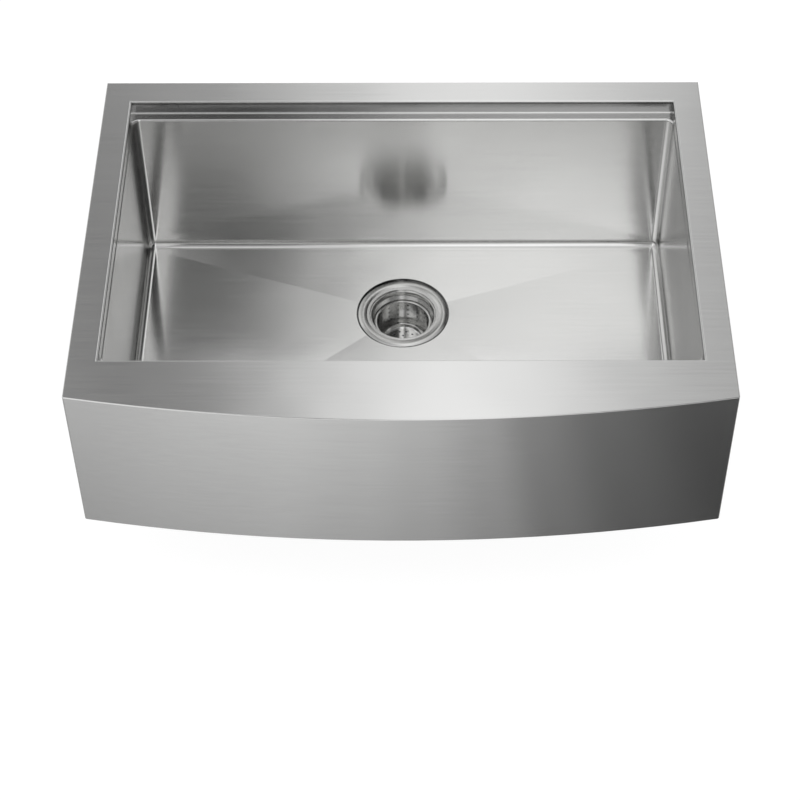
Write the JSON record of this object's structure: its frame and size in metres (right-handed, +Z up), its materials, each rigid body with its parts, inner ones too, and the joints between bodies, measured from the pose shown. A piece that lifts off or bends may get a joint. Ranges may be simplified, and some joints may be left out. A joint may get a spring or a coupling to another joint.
{
  "type": "apron-front workstation sink",
  "caption": "Apron-front workstation kitchen sink with ledges for sliding accessories, a bowed front panel, a folded floor and a basket drain.",
  "frame": {"origin": "centre of the bowl's opening, on the top plane of the rim", "axes": "+X to the right seen from the front, +Y towards the rear wall, +Z up out of the bowl"},
  "size_m": [0.762, 0.5651, 0.3463],
  "materials": {
    "bowl_steel": "brushed",
    "rim_steel": "brushed",
    "apron_steel": "brushed",
    "brace_steel": "mill",
    "pad_rubber": "matte",
    "undercoat": "sprayed",
    "drain_steel": "satin",
    "gasket_rubber": "matte",
    "friction_fibre": "matte",
    "slate_plastic": "satin",
    "outlet_plastic": "satin",
    "basket_steel": "polished",
    "lid_steel": "satin",
    "knob_steel": "polished"
  },
  "bodies": {
    "sink": {"bowl": "bowl_steel", "top_frame": "rim_steel", "apron_panel": "apron_steel", "apron_brace_left": "brace_steel", "apron_brace_right": "brace_steel", "pad_rear": "pad_rubber", "pad_front": "pad_rubber", "pad_left": "pad_rubber", "pad_right": "pad_rubber", "pad_bottom_left": "pad_rubber", "pad_bottom_right": "pad_rubber", "undercoat": "undercoat", "strainer_body": "drain_steel", "drain_gasket": "gasket_rubber", "friction_ring": "friction_fibre", "lock_ring": "slate_plastic", "outlet": "outlet_plastic", "outlet_washer": "gasket_rubber", "outlet_nut": "slate_plastic"},
    "basket": {"basket_wall": "basket_steel", "basket_floor": "basket_steel"},
    "lid": {"lid_disc": "lid_steel", "lid_knob": "knob_steel", "lid_seal": "gasket_rubber"}
  },
  "joints": [
    {"name": "basket_lift", "type": "slide", "parent": "sink", "child": "basket", "axis": [0, 0, 1], "range_m": [0, 0.32]},
    {"name": "lid_lift", "type": "slide", "parent": "sink", "child": "lid", "axis": [0, 0, 1], "range_m": [0, 0.26]}
  ]
}
